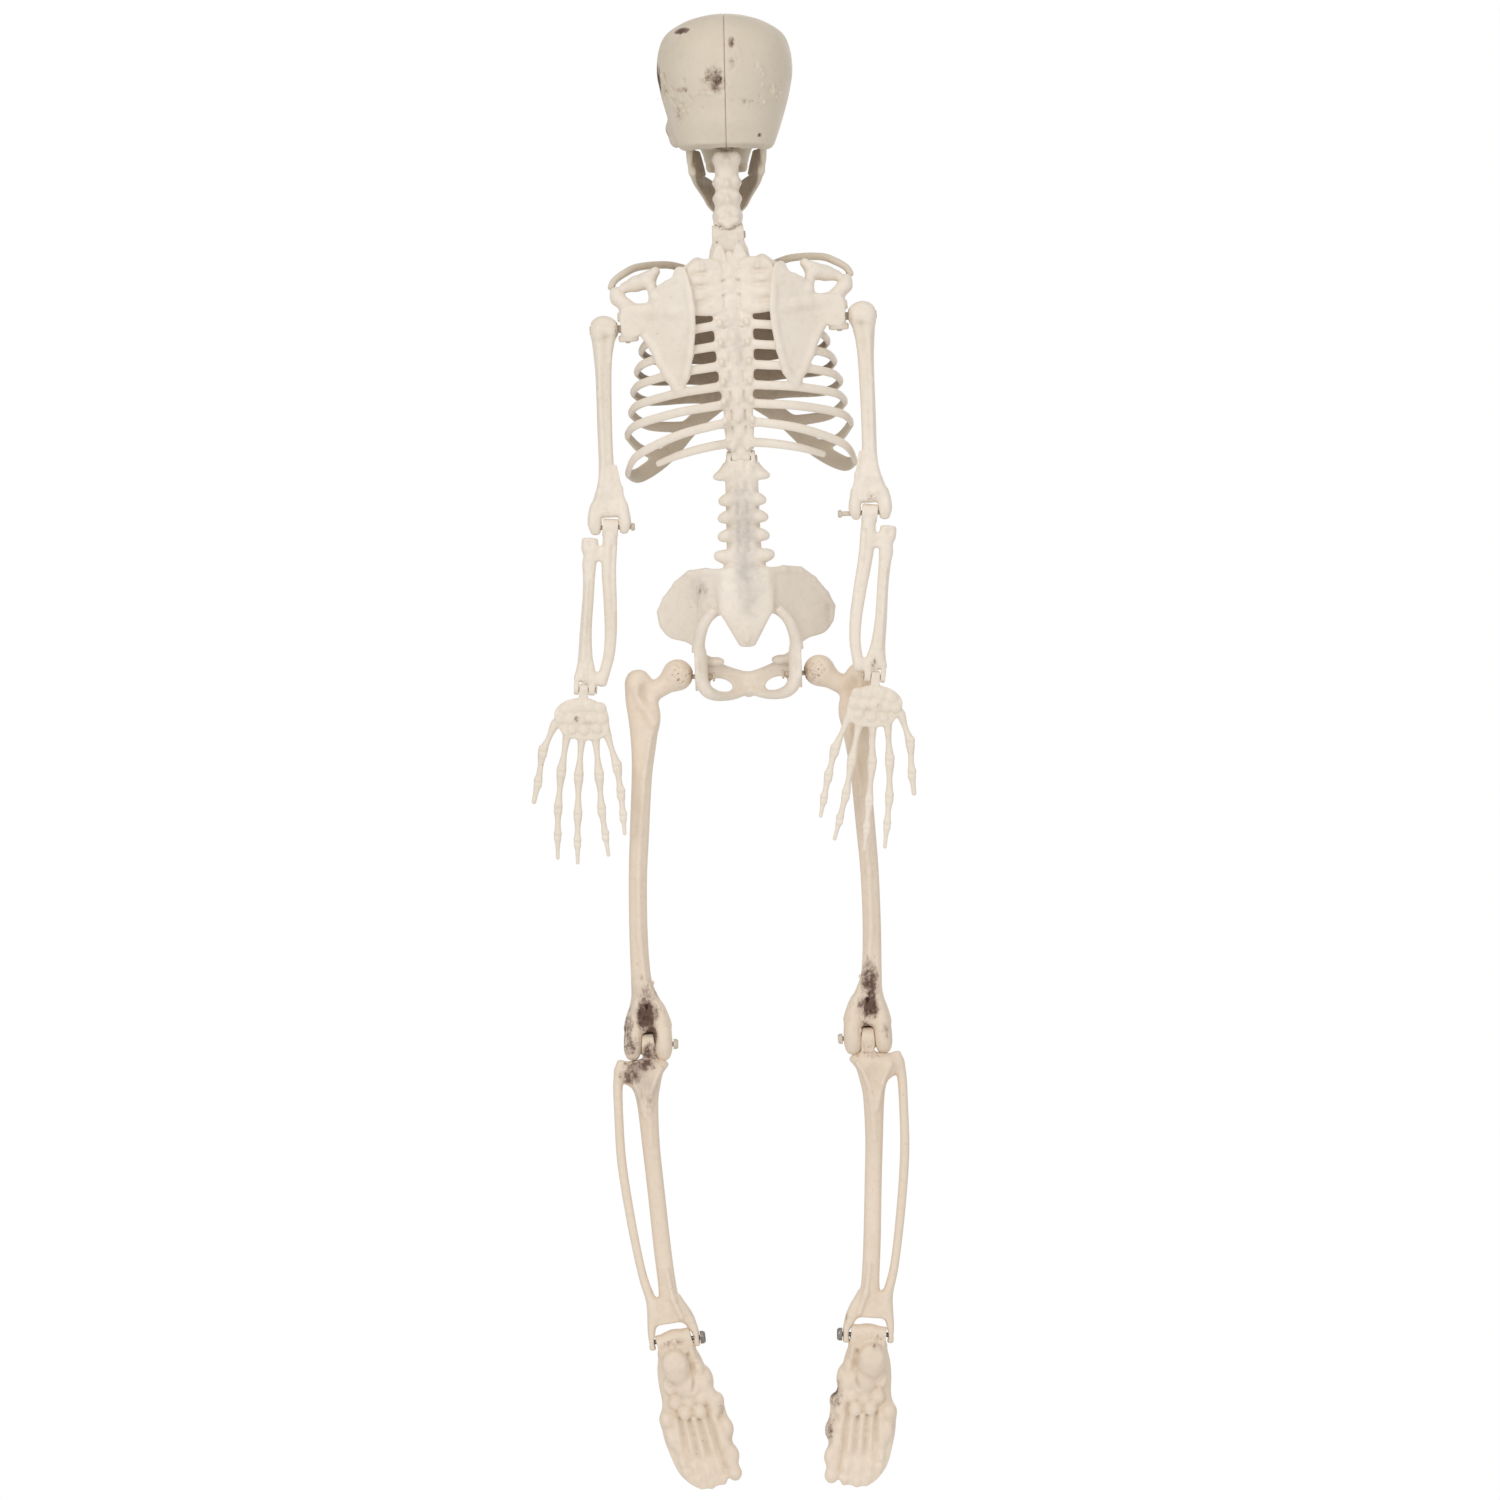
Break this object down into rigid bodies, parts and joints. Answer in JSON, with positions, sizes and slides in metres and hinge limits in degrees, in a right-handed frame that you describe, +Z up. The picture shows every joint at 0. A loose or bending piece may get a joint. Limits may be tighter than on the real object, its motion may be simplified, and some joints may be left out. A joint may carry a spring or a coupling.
{
  "type": "hanging halloween skeleton figure",
  "caption": "Hanging moulded plastic skeleton figure with pinned neck, waist, shoulders, elbows, wrists, hips, knees, ankles and a hinged jaw.",
  "frame": {"origin": "hanging hole in the crown of the skull, where the figure is held", "axes": "+Z up, +Y the way the face looks, +X the skeleton's right"},
  "size_m": [0.236, 0.1078, 0.9096],
  "materials": {
    "skull_bone": "satin moulded, antiqued with brown wash",
    "trunk_bone": "satin moulded",
    "arm_bone": "satin moulded",
    "leg_bone": "satin moulded, brown wash at the knees",
    "pin_plastic": "satin",
    "ankle_pin": "dull"
  },
  "bodies": {
    "skull": {"skull_left_half": "skull_bone", "skull_right_half": "skull_bone", "jaw_pin_left": "pin_plastic", "jaw_pin_right": "pin_plastic"},
    "jaw": {"jaw": "trunk_bone"},
    "neck": {"neck": "trunk_bone", "head_swivel_peg": "pin_plastic"},
    "torso": {"ribcage_back": "trunk_bone", "ribcage_front": "trunk_bone", "neck_pin": "pin_plastic", "waist_pin": "pin_plastic", "shoulder_pin_left": "pin_plastic", "shoulder_pin_right": "pin_plastic"},
    "pelvis": {"pelvis": "trunk_bone"},
    "shoulder_link_left": {"shoulder_link_left": "pin_plastic"},
    "upper_arm_left": {"humerus_left": "arm_bone", "elbow_pin_left": "pin_plastic"},
    "forearm_left": {"forearm_left": "arm_bone", "wrist_pin_left": "pin_plastic"},
    "hand_left": {"hand_left": "arm_bone"},
    "shoulder_link_right": {"shoulder_link_right": "pin_plastic"},
    "upper_arm_right": {"humerus_right": "arm_bone", "elbow_pin_right": "pin_plastic"},
    "forearm_right": {"forearm_right": "arm_bone", "wrist_pin_right": "pin_plastic"},
    "hand_right": {"hand_right": "arm_bone"},
    "thigh_left": {"femur_left": "leg_bone", "hip_peg_left": "pin_plastic", "knee_pin_left": "pin_plastic"},
    "shin_left": {"shin_left": "leg_bone", "ankle_pin_left": "ankle_pin"},
    "foot_left": {"foot_left": "leg_bone"},
    "thigh_right": {"femur_right": "leg_bone", "hip_peg_right": "pin_plastic", "knee_pin_right": "pin_plastic"},
    "shin_right": {"shin_right": "leg_bone", "ankle_pin_right": "ankle_pin"},
    "foot_right": {"foot_right": "leg_bone"}
  },
  "joints": [
    {"name": "jaw_open_close", "type": "hinge", "parent": "skull", "child": "jaw", "pos_m": [0.00159, 0.004, -0.07598], "axis": [0.9998, 0, 0.0209], "range_deg": [0, 8]},
    {"name": "head_turn", "type": "hinge", "parent": "skull", "child": "neck", "pos_m": [0, -0.008, 0], "axis": [-0.0209, 0, 0.9998], "range_deg": [-60, 60]},
    {"name": "neck_nod", "type": "hinge", "parent": "neck", "child": "torso", "pos_m": [0.00286, -0.008, -0.13647], "axis": [0.9983, 0, 0.0576], "range_deg": [-12, 12]},
    {"name": "waist_bend", "type": "hinge", "parent": "torso", "child": "pelvis", "pos_m": [0.01083, -0.013, -0.27474], "axis": [0.9994, 0, 0.0349], "range_deg": [0, 30]},
    {"name": "shoulder_turn_left", "type": "hinge", "parent": "torso", "child": "shoulder_link_left", "pos_m": [-0.0591, -0.017, -0.19453], "axis": [-0.0576, 0, 0.9983], "range_deg": [-20, 20]},
    {"name": "shoulder_swing_left", "type": "hinge", "parent": "shoulder_link_left", "child": "upper_arm_left", "pos_m": [-0.07338, -0.017, -0.19536], "axis": [0.9995, 0, 0.0305], "range_deg": [-60, 120]},
    {"name": "elbow_left", "type": "hinge", "parent": "upper_arm_left", "child": "forearm_left", "pos_m": [-0.06966, -0.017, -0.317], "axis": [0.9995, 0, 0.0305], "range_deg": [-60, 110]},
    {"name": "wrist_left", "type": "hinge", "parent": "forearm_left", "child": "hand_left", "pos_m": [-0.08598, -0.017, -0.41674], "axis": [0.9989, 0, -0.0471], "range_deg": [-50, 50]},
    {"name": "shoulder_turn_right", "type": "hinge", "parent": "torso", "child": "shoulder_link_right", "pos_m": [0.07108, -0.017, -0.18703], "axis": [-0.0576, 0, 0.9983], "range_deg": [-20, 20]},
    {"name": "shoulder_swing_right", "type": "hinge", "parent": "shoulder_link_right", "child": "upper_arm_right", "pos_m": [0.08536, -0.017, -0.1862], "axis": [0.9992, 0, 0.0401], "range_deg": [-60, 120]},
    {"name": "elbow_right", "type": "hinge", "parent": "upper_arm_right", "child": "forearm_right", "pos_m": [0.09024, -0.017, -0.30781], "axis": [0.9992, 0, 0.0401], "range_deg": [-100, 0]},
    {"name": "wrist_right", "type": "hinge", "parent": "forearm_right", "child": "hand_right", "pos_m": [0.09375, -0.017, -0.40881], "axis": [0.9968, 0, -0.0802], "range_deg": [-50, 0]},
    {"name": "hip_left", "type": "hinge", "parent": "pelvis", "child": "thigh_left", "pos_m": [-0.01691, 0.003, -0.40859], "axis": [1, 0, 0], "range_deg": [-25, 90]},
    {"name": "knee_left", "type": "hinge", "parent": "thigh_left", "child": "shin_left", "pos_m": [-0.04641, 0.003, -0.63559], "axis": [1, 0, 0], "range_deg": [-100, 0]},
    {"name": "ankle_left", "type": "hinge", "parent": "shin_left", "child": "foot_left", "pos_m": [-0.02754, 0.003, -0.81822], "axis": [0.9947, 0, 0.1028], "range_deg": [0, 70]},
    {"name": "hip_right", "type": "hinge", "parent": "pelvis", "child": "thigh_right", "pos_m": [0.04785, 0.003, -0.40633], "axis": [0.9986, 0, 0.0523], "range_deg": [0, 90]},
    {"name": "knee_right", "type": "hinge", "parent": "thigh_right", "child": "shin_right", "pos_m": [0.08919, 0.003, -0.63147], "axis": [0.9986, 0, 0.0523], "range_deg": [-100, 0]},
    {"name": "ankle_right", "type": "hinge", "parent": "shin_right", "child": "foot_right", "pos_m": [0.08662, 0.003, -0.81506], "axis": [0.9999, 0, -0.014], "range_deg": [0, 70]}
  ]
}
